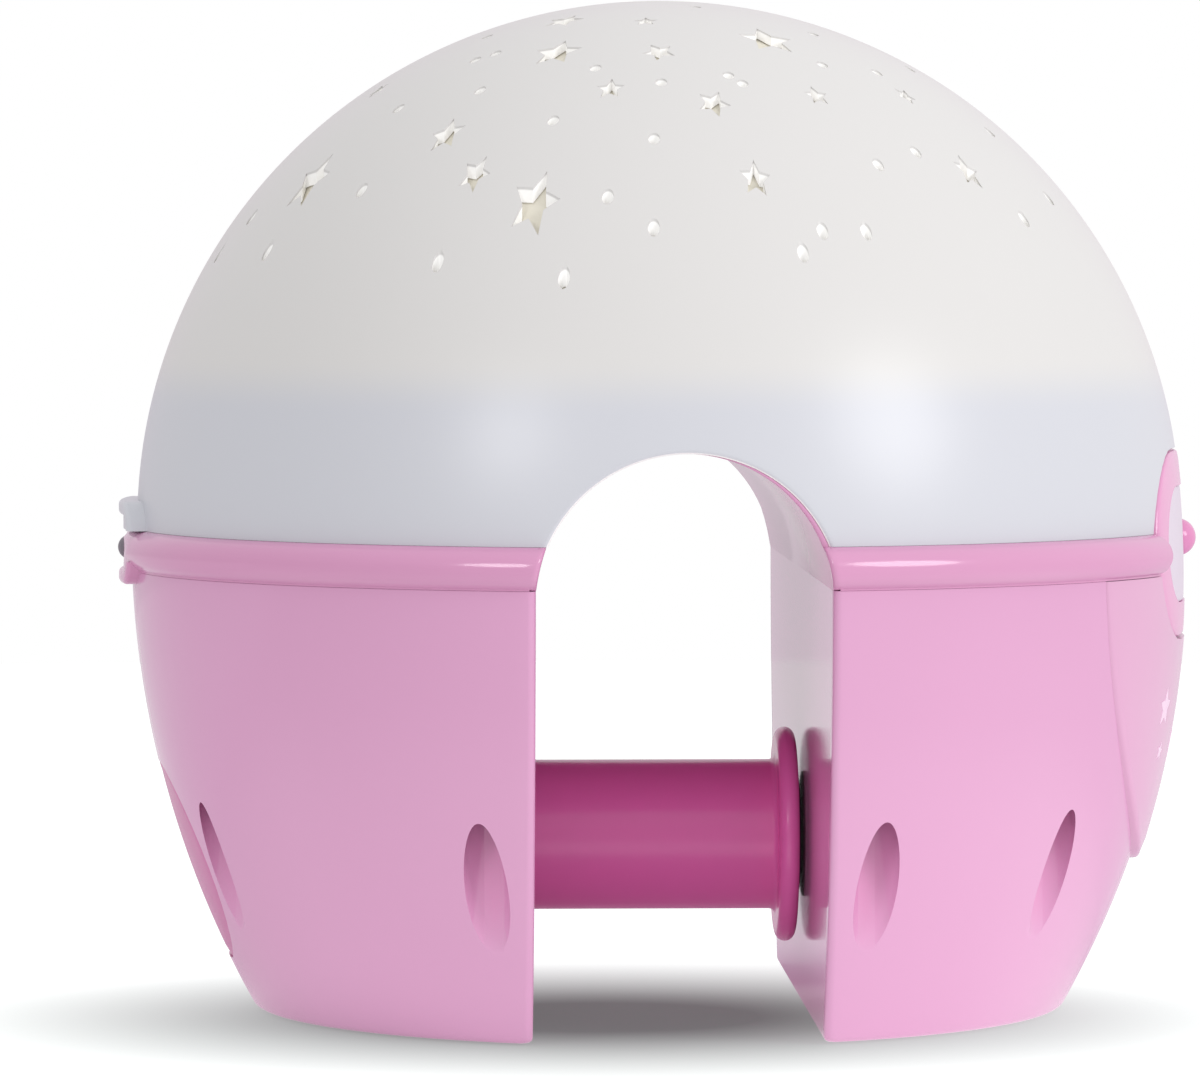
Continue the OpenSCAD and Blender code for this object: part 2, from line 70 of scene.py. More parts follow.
# Dome
DOME_R = 80.0
DOME_Z = 74.0
DOME_WALL = 1.4
SEAM_Z = 73.45
DOME_LIP = 0.6  # rounding of the dome's edge along the arch
DOME_ARCH = (1.03, 64.97, 21.78)  # centre in X and Z and radius of the dome's opening
DOT_R = 0.88
STAR_WAIST = 0.48  # radius of a star's inner corners, as a share of its tips'
CROWN = 0.004  # how far from the crown the dome's first row lies, as a share of its way down

# Rail slot
SLOT_X = 0.5
ARCH_R = 21.25
ARCH_Z = 65.5
ARCH_WALL = 1.6
SLOT_REAR = SLOT_X - ARCH_R
SLOT_FRONT = SLOT_X + ARCH_R

# Legs: their side is an arc of radius BELLY_R about the height BELLY_Z, where it is widest
BELLY_R = 146.0
BELLY_Z = 72.0
BELLY_MAX = 80.9
BELLY_X = BELLY_MAX - BELLY_R
LEG_TOP = 67.15
LEG_FOOT = 0.15
LEG_WALL = 2.4
BASE_ROUND = 1.6
BASE_DROP = BELLY_Z - LEG_FOOT - BASE_ROUND
BASE_X = BELLY_X + math.sqrt((BELLY_R - BASE_ROUND) ** 2 - BASE_DROP ** 2)
SLOT_ROUND = 1.0  # rounding of the legs' corners along the slot

# Ring
RING_IN = 75.2
RING_OUT = 79.55
BEAD_R = 3.15
BEAD_Z = 70.3
BEAD_ROUND = 1.0  # rounding of the bead's ends at the slot

# Screw wells
WELL_TURNS = (-67.0, -22.4, 23.4, 51.2)
WELL_PITCH = 72.35
WELL_R = 3.35
WELL_TOP = 46.0
TOWER_R = 4.7  # the towers round the wells inside the legs

# Underside. A box is given by two opposite corners
FEET = ((30, -45), (30, 45), (54.8, 0))
FOOT_R = 4.5
FOOT_TOP = 1.2
SPEAKER = (-37, 28)
SOUND_R = 0.9
SOUND_PITCH = 3.6
DOOR_SEAT = ((25.6, -27.4, -1), (49.4, 33.4, 1.9))
CELL_OPENING = ((29.9, -22.7, -1), (45.1, 22.7, 9))
DOOR_SCREW = (37.5, 29.3)
DOOR_SCREW_R = 1.35

# Clamp
CLAMP_Z = 26.0
PLUNGER_R = 11.5
BORE_R = 8.5
BUSH_R = 13.45
FLANGE_R = 16.5
FLANGE_X = 17.9
FLANGE_T = 3.0
PAD_R = 9.7
TAIL_X = -38.5
BORE_END_X = FLANGE_X - 2.5
SPRING_SEAT_X = -67.0
SPRING_END_X = FLANGE_X - 2.6
SPRING_R = 7.0
SPRING_TURNS = 11
WIRE_R = 0.6

# Front panel, button and cover
PANEL_HALF = 19.45
PANEL_R = 14.0
PANEL_Z = 71.4
PANEL_GAP = 0.45
PANEL_BULGE = 150.0
PANEL_MID_Z = 66.0
PANEL_MAX = 80.7
SEAT_OUT = 77.5
WINDOW_DROP = 5.2
BUTTON_Z = 71.7
BUTTON_R = 2.9
BUTTON_X = 80.0
BUTTON_POCKET = ((66, -7, 60), (90, 7, 80))  # room for its flange in the deck
COVER_STEP = 0.03  # how far the cover stands out of the leg from COVER_TOP_Z up
COVER_RISE = 0.029  # what each mm below that adds
COVER_TOP_Z = 73.0
COVER_GAP = 0.02
COVER_DISC_R = 50.0
COVER_DISC_Z = 72.3
COVER_SINK = 0.8

# Rear bezel, knob and cap
BEZEL_Z = 71.5
BEZEL_HIGH = 6.3
BEZEL_WIDE = 18.0
BEZEL_RIM = 2.2
BEZEL_FACE = 82.1
BEZEL_OUT = 82.8
CHIN_TOP = LEG_TOP + 1.6
KNOB_Z = 70.4
KNOB_R = 1.9
KNOB_TRAVEL = 4.0
CAP_R = 14.9
CAP_HALF = 8.1
CAP_Z = 23.0
CAP_PROUD = -0.2
CAP_T = 1.8
CAP_LEDGE = 2.5
CAP_GAP = 0.12

# Stars: x, y, radius of the tips, turn
STARS = (
    (-20.5, -60, 3.8, 60), (-29, -52.5, 2.5, 45), (-33, -43, 2.8, 67), (11.5, -59.5, 2.4, 22),
    (6, -48.5, 2.6, 70), (15, -28.5, 4.5, 35), (-16.5, -32.5, 3.8, 69), (-1.5, -36.5, 2.6, 45),
    (-9, -45, 2.2, 10), (21.5, -42, 2, 40), (35.5, -30.5, 1.8, 20), (44, -40, 2.4, 50),
    (-53, -29.5, 3.8, 30), (-15, -18.5, 3.2, 55), (-3, -24.5, 2, 15), (-43, -14, 1.8, 0),
)
DOTS = (
    (-34.5, -60), (-16.5, -68.5), (-3.5, -66), (-10, -62), (18, -66), (21, -63), (27.5, -60.5),
    (-3, -55), (8.5, -42), (10.5, -43.5), (23, -32.5), (22.5, -19), (30, -50.5), (36, -44),
    (31.5, -27), (52.5, -38.5), (57.5, -25), (49, -21), (37.5, -14), (-1.5, -44.5), (5, -14),
    (-28.5, -25.5), (-25.5, -26), (-26.5, -14.5), (-28, -36.5), (-40, -29), (-45.5, -42),
    (-59.5, -33.5), (-62, -19), (-67, -14), (-17.5, -49), (-11, -39.5),
)
# Printed stars on the front cover: y, z, radius of the tips, turn
PRINTS = (
    (-25.5, 47.0, 3.0, 90), (-24.0, 40.3, 1.4, 80), (-13.0, 41.0, 2.2, 60),
    (-2.5, 34.5, 2.6, 100), (8.5, 46.0, 3.2, 75), (20.0, 38.5, 1.8, 95), (31.0, 49.0, 2.6, 65),
    (14.5, 29.5, 1.4, 85), (38.5, 59.0, 1.6, 80),
)


# ---- mesh helpers ----

def clean(mesh, turn=True):
    """Welds doubles, turns normals outwards and smooths all but the sharp edges."""
    bm = bmesh.new()
    bm.from_mesh(mesh)
    bmesh.ops.remove_doubles(bm, verts=bm.verts, dist=1e-6)
    bmesh.ops.dissolve_degenerate(bm, edges=bm.edges, dist=1e-7)
    if turn:
        bmesh.ops.recalc_face_normals(bm, faces=bm.faces)
    for face in bm.faces:
        face.smooth = True
    limit = math.radians(SMOOTH_ANGLE)
    for edge in bm.edges:
        edge.smooth = len(edge.link_faces) == 2 and edge.calc_face_angle(0) < limit
    bm.to_mesh(mesh)
    bm.free()


def added(name, data):
    """A new object in the scene."""
    obj = bpy.data.objects.new(name, data)
    bpy.context.scene.collection.objects.link(obj)
    return obj


def piece(name, points, faces):
    """A mesh object from points in millimetres."""
    mesh = bpy.data.meshes.new(name)
    mesh.from_pydata([(x * MM, y * MM, z * MM) for x, y, z in points], [], faces)
    clean(mesh)
    return added(name, mesh)


def loft(name, loops, closed_rows=False):
    """A skin over closed loops that all have the same number of points."""
    count = len(loops[0])
    points = [p for loop in loops for p in loop]
    rows = len(loops) if closed_rows else len(loops) - 1
    faces = []
    for i in range(rows):
        a, b = i * count, (i + 1) % len(loops) * count
        faces += [(a + k, a + (k + 1) % count, b + (k + 1) % count, b + k) for k in range(count)]
    if not closed_rows:
        faces += [tuple(range(count))[::-1], tuple(range((len(loops) - 1) * count, len(points)))]
    return piece(name, points, faces)


def lathe_x(name, profile, z, steps=128):
    """Turns (x, radius) points about an axis along X at height z."""
    loops = []
    for x, r in profile:
        r = max(r, 1e-3)
        turns = [2 * math.pi * k / steps for k in range(steps)]
        loops.append([(x, r * math.cos(t), z + r * math.sin(t)) for t in turns])
    return loft(name, loops)


def arc(cx, cy, r, start, end, steps):
    """Points on an arc, angles in degrees, both ends included."""
    turns = [math.radians(start + (end - start) * k / steps) for k in range(steps + 1)]
    return [(cx + r * math.cos(t), cy + r * math.sin(t)) for t in turns]


def finer(outline, step=1.5):
    """Adds points along the long edges of a closed outline."""
    points = []
    for a, b in zip(outline, outline[1:] + outline[:1]):
        count = max(1, math.ceil(math.dist(a[:2], b[:2]) / step))
        points += [tuple(p + (q - p) * k / count for p, q in zip(a, b)) for k in range(count)]
    return points


def stadium(half, radius, steps=16):
    """Closed outline of two half circles joined by straights, with its outward normals."""
    points = []
    for cx, start in ((half, -90), (-half, 90)):
        for x, y in arc(cx, 0, radius, start, start + 180, steps):
            points.append((x, y, (x - cx) / radius, y / radius))
    return finer(points)


def star(radius, turn):
    """Closed outline of a star with five tips about the origin."""
    points = []
    for k in range(10):
        r = radius if k % 2 == 0 else STAR_WAIST * radius
        t = math.radians(turn + 36 * k)
        points.append((r * math.cos(t), r * math.sin(t)))
    return points


def prism(outline, low, high, place):
    """Faces and points of a straight prism. place(u, v, w) puts a point of it in the frame."""
    n = len(outline)
    points = [place(p[0], p[1], w) for w in (low, high) for p in outline]
    faces = [(k, (k + 1) % n, n + (k + 1) % n, n + k) for k in range(n)]
    faces += [tuple(range(n))[::-1], tuple(range(n, 2 * n))]
    return points, faces


def merged(name, parts):
    """One object from several (points, faces) that don't touch."""
    points, faces = [], []
    for p, f in parts:
        faces += [tuple(len(points) + k for k in face) for face in f]
        points += p
    return piece(name, points, faces)


def cut(obj, tool):
    """Cuts obj with tool, keeps the result as obj's mesh and removes the tool."""
    step = obj.modifiers.new("cut", "BOOLEAN")
    step.operation = "DIFFERENCE"
    step.solver = "EXACT"
    step.object = tool
    baked = bpy.data.meshes.new_from_object(
        obj.evaluated_get(bpy.context.evaluated_depsgraph_get())
    )
    obj.modifiers.clear()
    old = obj.data
    obj.data = baked
    bpy.data.meshes.remove(old)
    bpy.data.objects.remove(tool)
    clean(obj.data, turn=False)


def upright(u, v, w):
    return (u, v, w)


def from_front(u, v, w):
    return (w, u, v)


def from_rear(u, v, w):
    return (-w, u, v)


def along_slot(u, v, w):
    return (u, w, v)


def prism_tool(outline, low, high, place):
    return merged("tool", [prism(outline, low, high, place)])


def box_tool(low, high):
    (a, b, c), (d, e, f) = low, high
    return prism_tool([(a, b), (d, b), (d, e), (a, e)], c, f, upright)


def curved_plate(name, outline, face, back, rear=False, soft=0.3, rings=10, rise=4):
    """A plate with a rounded rim. outline has points and normals; face and back give the radius
    of the front and the rear surface at a height, and soft the rim's rounding there."""
    sign = -1 if rear else 1
    round_at = soft if callable(soft) else lambda z: soft
    mid_y = sum(p[0] for p in outline) / len(outline)
    mid_z = sum(p[1] for p in outline) / len(outline)

    def put(y, z, r):
        return (sign * math.sqrt(r * r - y * y), y, z)

    def shrunk(y, z, share):
        return mid_y + (y - mid_y) * share, mid_z + (z - mid_z) * share

    loops = []
    for k in range(1, rings + 1):
        inner = [shrunk(y, z, k / rings) for y, z, n, m in outline]
        loops.append([put(y, z, back(z)) for y, z in inner])
    for k in range(rise + 1):
        t = math.radians(90 * k / rise)
        drop, inwards = 1 - math.sin(t), 1 - math.cos(t)
        loop = []
        for y, z, n, m in outline:
            r = round_at(z)
            loop.append(put(y - n * inwards * r, z - m * inwards * r, face(z) - drop * r))
        loops.append(loop)
    top = [(y - n * round_at(z), z - m * round_at(z)) for y, z, n, m in outline]
    for k in range(1, rings):
        inner = [shrunk(y, z, 1 - k / rings) for y, z in top]
        loops.append([put(y, z, face(z)) for y, z in inner])
    return loft(name, loops)


def bulge(radius, mid_z, widest):
    """Radius at a height of a surface of revolution whose side is one arc."""
    return lambda z: widest - radius + math.sqrt(radius ** 2 - (mid_z - z) ** 2)


def level(radius):
    return lambda z: radius


def recess_tool(outline, back, rear=False, rings=10):
    """Cuts all that lies inside outline and further out than back, the radius by height."""
    return curved_plate("tool", outline, level(OUTSIDE_R), back, rear, 0.01, rings, rise=1)


panel_face = bulge(PANEL_BULGE, PANEL_MID_Z, PANEL_MAX)
belly_face = bulge(BELLY_R, BELLY_Z, BELLY_MAX)


def cover_step(z):
    """How far the front cover stands out of the leg at a height."""
    return COVER_STEP + COVER_RISE * max(0, COVER_TOP_Z - z)


def cover_face(z):
    return belly_face(z) + cover_step(z)


def grown(outline, grow):
    return [(y + grow * n, z + grow * m, n, m) for y, z, n, m in outline]


def disc(radius, z, steps=96):
    """Closed round outline about Y = 0, with its outward normals."""
    return [(r_y, z + r_z, r_y / radius, r_z / radius)
            for r_y, r_z in arc(0, 0, radius, 0, 360 - 360 / steps, steps - 1)]


def panel_outline(drop=0.0):
    return [(y, z + PANEL_Z, n, m) for y, z, n, m in stadium(PANEL_HALF, PANEL_R - drop)]


def panel_hole(drop=-PANEL_GAP):
    return prism(panel_outline(drop), 40, REACH, from_front)


def cap_outline():
    return [(y, z + CAP_Z, n, m) for y, z, n, m in stadium(CAP_HALF, CAP_R)]


def bezel_outline():
    half = BEZEL_WIDE - BEZEL_HIGH
    return [(y, z + BEZEL_Z, n, m) for y, z, n, m in stadium(half, BEZEL_HIGH, 24)]


def knob_tool():
    slot = [(y, z + KNOB_Z) for y, z, n, m in stadium(KNOB_TRAVEL, KNOB_R + 0.4)]
    return prism_tool(slot, 60, OUTSIDE_R, from_rear)


def cover_back(z):
    return belly_face(z) - COVER_SINK


def cap_back(z):
    return belly_face(z) - CAP_T + CAP_PROUD


# ---- materials ----

def srgb(r, g, b):
    """A colour given as 0 to 255 on screen, as the shader's linear values."""
    def lin(c):
        c /= 255
        return c / 12.92 if c <= 0.04045 else ((c + 0.055) / 1.055) ** 2.4
    return (lin(r), lin(g), lin(b), 1.0)


def mixed(tree, factor, low, high):
    """A colour between low and high, which are colours or sockets."""
    node = tree.nodes.new("ShaderNodeMix")
    node.data_type = "RGBA"
    tree.links.new(factor, node.inputs["Factor"])
    for name, value in (("A", low), ("B", high)):
        if isinstance(value, bpy.types.NodeSocket):
            tree.links.new(value, node.inputs[name])
        else:
            node.inputs[name].default_value = value
    return node.outputs["Result"]


def ranged(tree, source, start=0.0, end=1.0, low=0.0, high=1.0, soft=False):
    """A value that runs from low to high while source runs from start to end."""
    node = tree.nodes.new("ShaderNodeMapRange")
    if soft:
        node.interpolation_type = "SMOOTHSTEP"
    for name, value in (("From Min", start), ("From Max", end), ("To Min", low), ("To Max", high)):
        node.inputs[name].default_value = value
    tree.links.new(source, node.inputs["Value"])
    return node.outputs["Result"]


def vector_math(tree, operation, source, *values):
    """A vector node that works on source and on fixed values."""
    node = tree.nodes.new("ShaderNodeVectorMath")
    node.operation = operation
    tree.links.new(source, node.inputs[0])
    for k, value in enumerate(values, 1):
        node.inputs[k].default_value = value
    return node


def along_axes(tree, source):
    """A vector's X, Y and Z."""
    node = tree.nodes.new("ShaderNodeSeparateXYZ")
    tree.links.new(source, node.inputs["Vector"])
    return node.outputs


PLASTIC_IOR = 1.5
DRIFT_SCALE = 22.0
PEEL_SCALE = 900.0
PEEL_DEPTH = 0.0002
RECESS = 4  # a recess this narrow or narrower, in millimetres, gets painted shade: a deeper pink
PAINTED_COOL_BAND_TOP = (92, 100)  # heights between which the dome's painted cool band turns to its painted warm tone
SKIN_DEPTH = (0.35, 0.15)  # depths in the dome's wall between which a hole's wall, painted brighter and glowing, turns to skin
# painted glow of the holes' walls, standing in for light let through the frosted shell
HOLE_WALL_PAINTED_GLOW = (0.08, 0.079, 0.075, 1)
BLACK = (0, 0, 0, 1)
WHITE = (1, 1, 1, 1)


def moulded(name, colour, rough=0.3, grain=0.0, drift=0.03, metal=0.0):
    """Moulded plastic: slow drift in tone, and fine orange peel in its gloss and, by grain, in
    its relief."""
    mat = bpy.data.materials.new(name)
    mat.use_nodes = True
    tree = mat.node_tree
    shader = tree.nodes["Principled BSDF"]
    shader.inputs["IOR"].default_value = PLASTIC_IOR
    shader.inputs["Metallic"].default_value = metal
    place = tree.nodes.new("ShaderNodeTexCoord").outputs["Object"]

    def noise(scale, detail):
        node = tree.nodes.new("ShaderNodeTexNoise")
        node.inputs["Scale"].default_value = scale
        node.inputs["Detail"].default_value = detail
        tree.links.new(place, node.inputs["Vector"])
        return node.outputs["Fac"]

    def shade(share):
        return [min(1, c * share) for c in colour[:3]] + [1]

    tone = mixed(tree, noise(DRIFT_SCALE, 2.0), shade(1 - drift), shade(1 + drift))
    tree.links.new(tone, shader.inputs["Base Color"])
    peel = noise(PEEL_SCALE, 3.0)
    gloss = ranged(tree, peel, low=rough * 0.95, high=rough * 1.05)
    tree.links.new(gloss, shader.inputs["Roughness"])
    if grain:
        bump = tree.nodes.new("ShaderNodeBump")
        bump.inputs["Strength"].default_value = grain
        bump.inputs["Distance"].default_value = PEEL_DEPTH
        tree.links.new(peel, bump.inputs["Height"])
        tree.links.new(bump.outputs["Normal"], shader.inputs["Normal"])
    return mat


def pink_with_painted_recess_shade(name, colour, deep, rough):
    """Glossy pink with painted shade: an occlusion mix paints it deeper pink inside narrow
    recesses, standing in for the light thrown to and fro there.
    """
    mat = moulded(name, colour, rough)
    tree = mat.node_tree
    base = tree.nodes["Principled BSDF"].inputs["Base Color"]
    near = tree.nodes.new("ShaderNodeAmbientOcclusion")
    near.samples = 6
    near.only_local = True
    near.inputs["Distance"].default_value = RECESS * MM
    # painted recess shade: the deeper colour is mixed in wherever occlusion finds a facing surface
    # within RECESS mm
    tree.links.new(mixed(tree, near.outputs["AO"], deep, base.links[0].from_socket), base)
    return mat


def dome_material():
    """Frosted white with painted light: a painted warm tone where the diffuser stands close behind,
    a painted cool band below it for shade and the pink ring's reflection seen through the shell,
    and painted brightness and glow on the walls of the holes, which let light through."""
    mat = moulded("dome_white", WHITE, rough=0.32)
    tree = mat.node_tree
    shader = tree.nodes["Principled BSDF"]
    place = tree.nodes["Texture Coordinate"].outputs["Object"]
    away = vector_math(tree, "DISTANCE", place, (0, 0, DOME_Z * MM)).outputs["Value"]
    start, end = [z * MM for z in PAINTED_COOL_BAND_TOP]
    warm = ranged(tree, along_axes(tree, place)["Z"], start, end, soft=True)
    start, end = [(DOME_R - depth) * MM for depth in SKIN_DEPTH]
    outside = ranged(tree, away, start, end, soft=True)
    # painted light: the cool band below stands for shade and the pink ring's reflection through the
    # shell, the warm tone above for the diffuser showing through
    skin = mixed(tree, warm, srgb(198, 199, 206), srgb(209, 207, 206))
    # painted light: the holes' walls are a brighter white than the skin and glow, standing in for
    # light let through the shell
    colour = mixed(tree, outside, srgb(246, 245, 244), skin)
    tree.links.new(colour, shader.inputs["Base Color"])
    glow = mixed(tree, outside, HOLE_WALL_PAINTED_GLOW, BLACK)
    tree.links.new(glow, shader.inputs["Emission Color"])
    shader.inputs["Emission Strength"].default_value = 1
    return mat


MATERIALS = {
    "dome": dome_material(),
    "diffuser": moulded("diffuser_cream", srgb(222, 217, 203), rough=0.6),
    "ring": moulded("ring_pink", srgb(205, 145, 182), rough=0.12),
    # the second colour is painted shade: the deeper pink mixed into the legs' recesses
    "leg": pink_with_painted_recess_shade("leg_pink", srgb(208, 153, 189), srgb(236, 84, 170), rough=0.1),
    "cover": moulded("cover_pink", srgb(209, 158, 190), rough=0.16),
    "panel": moulded("panel_pink", srgb(216, 150, 190), rough=0.16),
    "window": moulded("window_white", srgb(208, 196, 210), rough=0.35),
    "button": moulded("button_pink", srgb(214, 136, 182), rough=0.16),
    "knob": moulded("knob_grey", srgb(120, 112, 122), rough=0.35),
    "clamp": moulded("clamp_magenta", srgb(250, 122, 198), rough=0.18),
    "pad": moulded("pad_black", srgb(60, 20, 42), rough=0.55, grain=0.1),
    "cap": moulded("cap_pink", srgb(192, 98, 152), rough=0.26),
    "bush": moulded("bush_white", srgb(214, 200, 208), rough=0.4),
    "tray": moulded("tray_black", srgb(60, 60, 62), rough=0.5, grain=0.05),
    "cell": moulded("cell_sleeve", srgb(190, 150, 90), rough=0.3, metal=0.3),
    "black_part": moulded("part_black", srgb(50, 50, 52), rough=0.45, grain=0.05),
    "board": moulded("board_green", srgb(60, 120, 84), rough=0.35),
    "lamp": moulded("lamp_resin", srgb(240, 236, 220), rough=0.15),
    "steel": moulded("steel_zinc", srgb(190, 190, 192), rough=0.32, metal=1.0),
    "foot": moulded("foot_grey", srgb(150, 142, 146), rough=0.6, grain=0.05),
    "print": moulded("print_white", srgb(230, 200, 222), rough=0.3),
}


def dress(obj, slot, body=BODY, stands_for=()):
    """Gives a new piece its material, its body and the nodes that it stands for."""
    obj.data.materials.clear()
    obj.data.materials.append(MATERIALS[slot])
    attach(obj, body)
    if stands_for:
        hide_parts(*stands_for)
    return obj


# ---- dome ----

def dome_shell():
    """Sphere shell with a rounded edge along the arch, built column by column."""
    low = SEAM_Z - 2
    lip, inner = DOME_LIP, DOME_R - DOME_WALL
    centre = Vector((0, 0, DOME_Z))
    arch_x, arch_z, arch_r = DOME_ARCH
    first = math.degrees(math.asin((low - arch_z) / arch_r))
    sweep, half, side_steps, outer_rows, inner_rows = 180 - 2 * first, 56, 120, 84, 30

    def arch_column(side, turn):
        t = math.radians(turn)
        x = arch_x + (arch_r + lip) * math.cos(t)
        z = arch_z + (arch_r + lip) * math.sin(t)
        y = side * math.sqrt((DOME_R - lip) ** 2 - x * x - (z - DOME_Z) ** 2)
        middle = Vector((x, y, z))
        outward = (middle - centre).normalized()
        inward = Vector((-math.cos(t), 0, -math.sin(t)))
        edge = [middle + outward.slerp(inward, k / 8) * lip for k in range(9)]
        x, z = edge[-1].x, edge[-1].z
        y = side * math.sqrt(inner ** 2 - x * x - (z - DOME_Z) ** 2)
        return edge + [Vector((x, y, z))]

    def seam_column(turn):
        t = math.radians(turn)
        outer = math.sqrt(DOME_R ** 2 - (low - DOME_Z) ** 2)
        back = math.sqrt(inner ** 2 - (low - DOME_Z) ** 2)
        steps = [outer + (back - outer) * k / 9 for k in range(10)]
        return [Vector((r * math.cos(t), r * math.sin(t), low)) for r in steps]

    def row(end, radius, share):
        """A level of the skin on which each column ends, share of the way down from the crown."""
        loop = []
        for column in columns:
            d = (column[end] - centre).normalized()
            climb = math.pi / 2 + (math.asin(d.z) - math.pi / 2) * (CROWN + (1 - CROWN) * share)
            turn = math.atan2(d.y, d.x)
            r = math.cos(climb) * radius
            loop.append((r * math.cos(turn), r * math.sin(turn), DOME_Z + radius * math.sin(climb)))
        return loop

    near = [arch_column(-1, 180 - first - sweep * k / half) for k in range(half + 1)]
    far = [arch_column(1, first + sweep * k / half) for k in range(half + 1)]
    columns = near[:]
    for start, end, after in ((near[-1], far[0], far), (far[-1], near[0], [])):
        a = math.degrees(math.atan2(start[0].y, start[0].x))
        b = math.degrees(math.atan2(end[0].y, end[0].x))
        if b < a:
            b += 360
        columns += [seam_column(a + (b - a) * k / side_steps) for k in range(1, side_steps)]
        columns += after

    loops = [row(0, DOME_R, k / outer_rows) for k in range(outer_rows)]
    loops += [[tuple(column[k]) for column in columns] for k in range(len(near[0]))]
    loops += [row(-1, inner, 1 - k / inner_rows) for k in range(1, inner_rows + 1)]
    obj = loft("dome", loops)
    cut(obj, box_tool((-REACH, -REACH, 50), (REACH, REACH, SEAM_Z)))
    outlines = []
    for flip in (1, -1):
        for x, y, radius, turn in STARS:
            outlines.append([(flip * (x + u), flip * (y + v)) for u, v in star(radius, turn)])
        outlines += [arc(flip * x, flip * y, DOT_R, 0, 345, 23) for x, y in DOTS]
    holes = [prism(outline, DOME_Z + 20, DOME_Z + 90, upright) for outline in outlines]
    holes.append(panel_hole())
    cut(obj, merged("tool", holes))
    return obj


dress(dome_shell(), "dome", stands_for=["dome_shell"])


# ---- ring and arch ----

def slot_outline(grow):
    points = [(SLOT_X + u, ARCH_Z + v) for u, v in arc(0, 0, ARCH_R + grow, 0, 180, 180)]
    return [(SLOT_FRONT + grow, -5)] + points + [(SLOT_REAR - grow, -5)]


def slot_tool(grow):
    return prism_tool(slot_outline(grow), -REACH, REACH, along_slot)


def flared_slot_tool(grow, soft):
    """The slot, flared where it leaves the bead so that the bead's ends come out rounded."""
    def skin(x, z):
        r = RING_OUT + math.sqrt(max(0, BEAD_R ** 2 - (z - BEAD_Z) ** 2))
        return math.sqrt(r * r - x * x)

    half = []
    for k in range(7):
        t = math.radians(90 - 15 * k)
        wide, deep = grow + soft * (1 - math.cos(t)), soft * (1 - math.sin(t))
        half.append([(x, skin(x, z) - deep, z) for x, z in slot_outline(wide)])
    widest = slot_outline(grow + soft)
    loops = [[(x, -REACH, z) for x, z in widest]]
    loops += [[(x, -y, z) for x, y, z in loop] for loop in half]
    loops += half[::-1]
    loops.append([(x, REACH, z) for x, z in widest])
    return loft("tool", loops)


def ring():
    """The chassis ring: a half-round bead with a short skirt that closes on the legs."""
    low, skirt = LEG_TOP + 0.03, 80.85
    start = -math.degrees(math.acos((skirt - RING_OUT) / BEAD_R))
    profile = [(RING_IN, SEAM_Z), (RING_IN, low), (skirt, low)]
    profile += arc(RING_OUT, BEAD_Z, BEAD_R, start, 90, 24)
    steps = 240
    loops = []
    for k in range(steps):
        t = 2 * math.pi * (k + 0.5) / steps
        loops.append([(r * math.cos(t), r * math.sin(t), z) for r, z in profile])
    obj = loft("ring", loops, closed_rows=True)
    cut(obj, flared_slot_tool(0.02, BEAD_ROUND))
    cut(obj, recess_tool(panel_outline(-PANEL_GAP), level(SEAT_OUT), rings=6))
    cut(obj, recess_tool(grown(bezel_outline(), -BEZEL_RIM), level(BEZEL_FACE), rear=True))
    cut(obj, knob_tool())
    return obj


def deck():
    """The chassis floor under the dome, open over the slot and under the button."""
    outline = arc(0, 0, RING_IN - 0.1, 0, 357, 119)
    obj = merged("deck", [prism(outline, LEG_TOP + 0.1, LEG_TOP + 2, upright)])
    cut(obj, slot_tool(ARCH_WALL))
    cut(obj, box_tool(*BUTTON_POCKET))
    return obj


def arch_lining():
    """The round roof of the slot, from leg to leg. Its lip fills the dome's opening."""
    first = math.asin((LEG_TOP - ARCH_Z) / ARCH_R)
    steps = 96

    def reach(radius, turn, sphere):
        x = SLOT_X + radius * math.cos(turn)
        z = ARCH_Z + radius * math.sin(turn)
        return math.sqrt(sphere ** 2 - x * x - (z - DOME_Z) ** 2)

    def dome_edge(turn):
        """Distance from the slot's axis to the edge of the dome's opening."""
        dx, dz, r = DOME_ARCH[0] - SLOT_X, DOME_ARCH[1] - ARCH_Z, DOME_ARCH[2]
        along = dx * math.cos(turn) + dz * math.sin(turn)
        return along + math.sqrt(r * r - dx * dx - dz * dz + along * along)

    loops = []
    for k in range(steps + 1):
        t = first + (math.pi - 2 * first) * k / steps
        lip = max(0.05, dome_edge(t) - 0.03 - ARCH_R)
        soft = min(0.5, 0.7 * lip)
        sphere = DOME_R - DOME_WALL - 0.2 + (DOME_WALL - 0.3) * min(1, max(0, lip - 0.05) / 0.2)
        front = reach(ARCH_R, t, sphere)
        back = reach(ARCH_R + 1, t, DOME_R - DOME_WALL - 0.3)
        section = [(ARCH_R + soft * (1 - math.cos(a)), -front + soft * (1 - math.sin(a)))
                   for a in [math.radians(22.5 * j) for j in range(5)]]
        section += [(ARCH_R + lip, -front), (ARCH_R + lip, -back), (ARCH_R + ARCH_WALL, -back)]
        section += [(r, -y) for r, y in reversed(section)]
        loops.append([(SLOT_X + r * math.cos(t), y, ARCH_Z + r * math.sin(t)) for r, y in section])
    return loft("arch_lining", loops)


dress(ring(), "ring", stands_for=["chassis"])
dress(arch_lining(), "ring")
dress(deck(), "ring")


# ---- legs ----

def belly(z, inset=0.0):
    """Radius of the legs' outside at height z."""
    if z < LEG_FOOT + BASE_ROUND and inset == 0:
        join = BELLY_Z - BASE_DROP * BELLY_R / (BELLY_R - BASE_ROUND)
        if z < join:
            return BASE_X + math.sqrt(max(0, BASE_ROUND ** 2 - (z - LEG_FOOT - BASE_ROUND) ** 2))
    return BELLY_X + math.sqrt((BELLY_R - inset) ** 2 - (BELLY_Z - z) ** 2)


